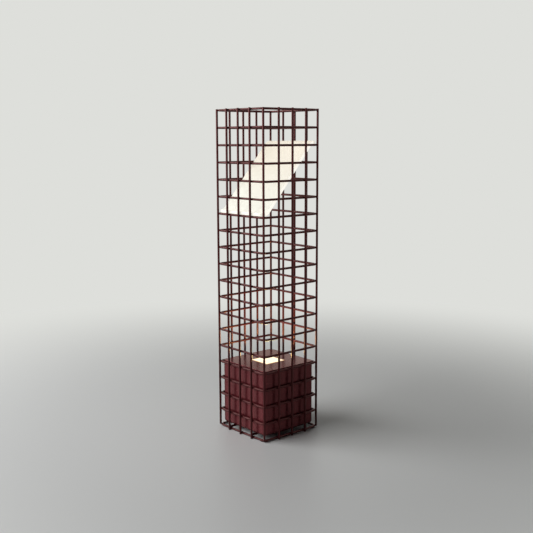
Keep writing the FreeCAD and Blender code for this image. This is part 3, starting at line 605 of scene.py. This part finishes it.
# Opal sheet: 5 mm cast acrylic bent hot along two lines, its lips lying on two hoops. The light from
# below that shines through it is painted on as a glow: cream at the high end, whiter low down, and
# brightest in the sawn, flamed edges.
SHEET_COLOUR = "#b6b3ac"
SHEET_HIGH_GLOW = "#c2b8a4"
SHEET_LOW_GLOW = "#c7c7bb"
SHEET_EDGE_GLOW = "#f6f2e8"
SHEET_GLOW = 1.0
SHEET_EDGE_WIDTH = 0.9 * MM
SHEET_CAST_SIZE = 45 * MM
SHEET_SMOOTHEST = 0.38
SHEET_ROUGHEST = 0.5
sheet_low, sheet_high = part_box("opal_sheet")
# Painted light: the sheet's emission stands in for the window's light shining through it.
opal, opal_surface = start_material("opal_cast_acrylic", {
    "Base Color": linear(SHEET_COLOUR), "IOR": ACRYLIC_IOR, "Emission Strength": SHEET_GLOW})
sheet_place = add_node(opal, "ShaderNodeTexCoord").outputs["Object"]
sheet_axes = add_node(opal, "ShaderNodeSeparateXYZ", links={"Vector": sheet_place})
sheet_rise = add_node(opal, "ShaderNodeMapRange", {"interpolation_type": "SMOOTHSTEP"},
                      {"From Min": sheet_low.z, "From Max": sheet_high.z}, {"Value": sheet_axes.outputs["Z"]})
sheet_cast = add_node(opal, "ShaderNodeTexNoise", values={"Scale": 1 / SHEET_CAST_SIZE, "Detail": 2.0},
                      links={"Vector": sheet_place})
sheet_glow = add_node(opal, "ShaderNodeMix", {"data_type": "RGBA"},
                      {6: linear(SHEET_LOW_GLOW), 7: linear(SHEET_HIGH_GLOW)},
                      {"Factor": sheet_rise.outputs["Result"]})
sheet_side = add_node(opal, "ShaderNodeMath", {"operation": "ABSOLUTE"}, links={0: sheet_axes.outputs["X"]})
sheet_edge = add_node(opal, "ShaderNodeMapRange", {"interpolation_type": "SMOOTHSTEP"},
                      {"From Min": sheet_high.x - SHEET_EDGE_WIDTH, "From Max": sheet_high.x},
                      {"Value": sheet_side.outputs[0]})
# Painted light along the sides: a brighter glow where the light leaves through the sawn edges.
sheet_light = add_node(opal, "ShaderNodeMix", {"data_type": "RGBA"}, {7: linear(SHEET_EDGE_GLOW)},
                       {"Factor": sheet_edge.outputs["Result"], 6: sheet_glow.outputs[2]})
sheet_satin = add_node(opal, "ShaderNodeMapRange",
                       values={"To Min": SHEET_SMOOTHEST, "To Max": SHEET_ROUGHEST},
                       links={"Value": sheet_cast.outputs["Fac"]})
opal.node_tree.links.new(sheet_light.outputs[2], opal_surface.inputs["Emission Color"])
opal.node_tree.links.new(sheet_satin.outputs["Result"], opal_surface.inputs["Roughness"])
dress(opal, "opal_sheet")


# Floor: a plain pale table top that runs out into the pale background with no edge. The background's
# colour is only seen and mirrored; it puts no light of its own on the lamp.
FLOOR_HALF = 6.0
FLOOR_COLOUR = "#cecfcd"
BACKGROUND_COLOUR = "#dedfdb"
FLOOR_ROUGHNESS = 0.42
FLOOR_FADE_START = 0.35
FLOOR_FADE_END = 1.3
floor_form = bmesh.new()
bmesh.ops.create_grid(floor_form, x_segments=1, y_segments=1, size=FLOOR_HALF)
floor_mesh = bpy.data.meshes.new("floor")
floor_form.to_mesh(floor_mesh)
floor_form.free()
floor = bpy.data.objects.new("floor", floor_mesh)
bpy.context.scene.collection.objects.link(floor)
table_top, table_surface = start_material("pale_table_top", {
    "Base Color": linear(FLOOR_COLOUR), "Roughness": FLOOR_ROUGHNESS})
table_place = add_node(table_top, "ShaderNodeTexCoord").outputs["Object"]
table_far = add_node(table_top, "ShaderNodeVectorMath", {"operation": "LENGTH"}, links={0: table_place})
table_fade = add_node(table_top, "ShaderNodeMapRange", {"interpolation_type": "SMOOTHSTEP"},
                      {"From Min": FLOOR_FADE_START, "From Max": FLOOR_FADE_END},
                      {"Value": table_far.outputs["Value"]})
table_rays = add_node(table_top, "ShaderNodeLightPath")
table_seen = add_node(table_top, "ShaderNodeMath", {"operation": "MAXIMUM"},
                      links={0: table_rays.outputs["Is Camera Ray"], 1: table_rays.outputs["Is Glossy Ray"]})
table_shown = add_node(table_top, "ShaderNodeMath", {"operation": "MAXIMUM"},
                       links={0: table_seen.outputs[0], 1: table_rays.outputs["Is Transmission Ray"]})
table_share = add_node(table_top, "ShaderNodeMath", {"operation": "MULTIPLY"},
                       links={0: table_fade.outputs["Result"], 1: table_shown.outputs[0]})
table_back = add_node(table_top, "ShaderNodeEmission", values={"Color": linear(BACKGROUND_COLOUR)})
table_mix = add_node(table_top, "ShaderNodeMixShader",
                     links={0: table_share.outputs[0], 1: table_surface.outputs["BSDF"],
                            2: table_back.outputs["Emission"]})
table_out = table_top.node_tree.nodes["Material Output"]
table_top.node_tree.links.new(table_mix.outputs["Shader"], table_out.inputs["Surface"])
floor_mesh.materials.append(table_top)
floor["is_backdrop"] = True


# Light: a large soft box in front, a small one on the left that draws a line along the hoops, an even
# pale surround, and the warm light that leaves the window.
AMBIENT = 0.035
AMBIENT_COLOUR = "#f4f6f8"
KEY_COLOUR = "#fdfdff"
KEY_PLACE = (-0.8, -2.1, 1.65)
KEY_AIM = (0, 0, 0.25)
KEY_SIZE = 2.4
KEY_WATTS = 64
LINE_PLACE = (-1.65, -1.15, 1.15)
LINE_SIZE = 0.8
LINE_WATTS = 17
WINDOW_LIGHT_COLOUR = "#fff0a4"
WINDOW_LIGHT_RISE = 1 * MM
WINDOW_LIGHT_AIM = (0, 0, 1)
WINDOW_LIGHT_SIZE = 40 * MM
WINDOW_LIGHT_WATTS = 0.5
WINDOW_LIGHT_SPREAD = math.radians(155)
world = bpy.data.worlds.new("studio")
bpy.context.scene.world = world
world.use_nodes = True
even_light = world.node_tree.nodes["Background"]
even_light.inputs["Color"].default_value = linear(AMBIENT_COLOUR)
even_light.inputs["Strength"].default_value = AMBIENT
backdrop = add_node(world, "ShaderNodeBackground", values={"Color": linear(BACKGROUND_COLOUR)})
rays = add_node(world, "ShaderNodeLightPath")
seen = add_node(world, "ShaderNodeMath", {"operation": "MAXIMUM"},
                links={0: rays.outputs["Is Camera Ray"], 1: rays.outputs["Is Glossy Ray"]})
shown = add_node(world, "ShaderNodeMath", {"operation": "MAXIMUM"},
                 links={0: seen.outputs[0], 1: rays.outputs["Is Transmission Ray"]})
surround = add_node(world, "ShaderNodeMixShader",
                    links={0: shown.outputs[0], 1: even_light.outputs["Background"],
                           2: backdrop.outputs["Background"]})
world.node_tree.links.new(surround.outputs["Shader"], world.node_tree.nodes["World Output"].inputs["Surface"])


def soft_box(name, place, aim, size, watts, colour):
    """A square soft box at a place, turned to face a point."""
    light = bpy.data.lights.new(name, "AREA")
    light.shape = "SQUARE"
    light.size = size
    light.energy = watts
    light.color = linear(colour)[:3]
    lamp = bpy.data.objects.new(name, light)
    lamp.location = place
    lamp.rotation_euler = (Vector(aim) - Vector(place)).to_track_quat("-Z", "Y").to_euler()
    bpy.context.scene.collection.objects.link(lamp)
    return lamp


key_light = soft_box("key_soft_box", KEY_PLACE, KEY_AIM, KEY_SIZE, KEY_WATTS, KEY_COLOUR)
key_light.visible_camera = False
line_light = soft_box("line_soft_box", LINE_PLACE, KEY_AIM, LINE_SIZE, LINE_WATTS, KEY_COLOUR)
line_light.visible_camera = False
pane_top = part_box("light_window")[1].z
own_light = soft_box("window_light", (0, 0, pane_top + WINDOW_LIGHT_RISE), WINDOW_LIGHT_AIM,
                     WINDOW_LIGHT_SIZE, WINDOW_LIGHT_WATTS, WINDOW_LIGHT_COLOUR)
own_light.data.spread = WINDOW_LIGHT_SPREAD
own_light.visible_camera = False


# Camera: the photograph's view of one corner of the lamp, from a little below its top and looking down.
# The small shift keeps the lamp's place in the picture without cutting off its foot.
CAMERA_PLACE = (1.1204, -0.9691, 0.5202)
CAMERA_TURN = math.radians(49.217)
CAMERA_DOWN = math.radians(9.270)
CAMERA_ROLL = math.radians(-0.206)
CAMERA_LENS = 56.5
CAMERA_SENSOR = 36
CAMERA_RISE = 0.02
photo_view = bpy.data.cameras.new("photo_view")
photo_view.lens = CAMERA_LENS
photo_view.sensor_width = CAMERA_SENSOR
photo_view.shift_y = CAMERA_RISE
camera = bpy.data.objects.new("photo_view", photo_view)
camera.matrix_world = (Matrix.Translation(CAMERA_PLACE) @ Matrix.Rotation(CAMERA_TURN, 4, "Z")
                       @ Matrix.Rotation(math.pi / 2 - CAMERA_DOWN, 4, "X")
                       @ Matrix.Rotation(CAMERA_ROLL, 4, "Z"))
bpy.context.scene.collection.objects.link(camera)
bpy.context.scene.camera = camera
bpy.context.scene.view_settings.view_transform = "Standard"

low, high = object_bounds()
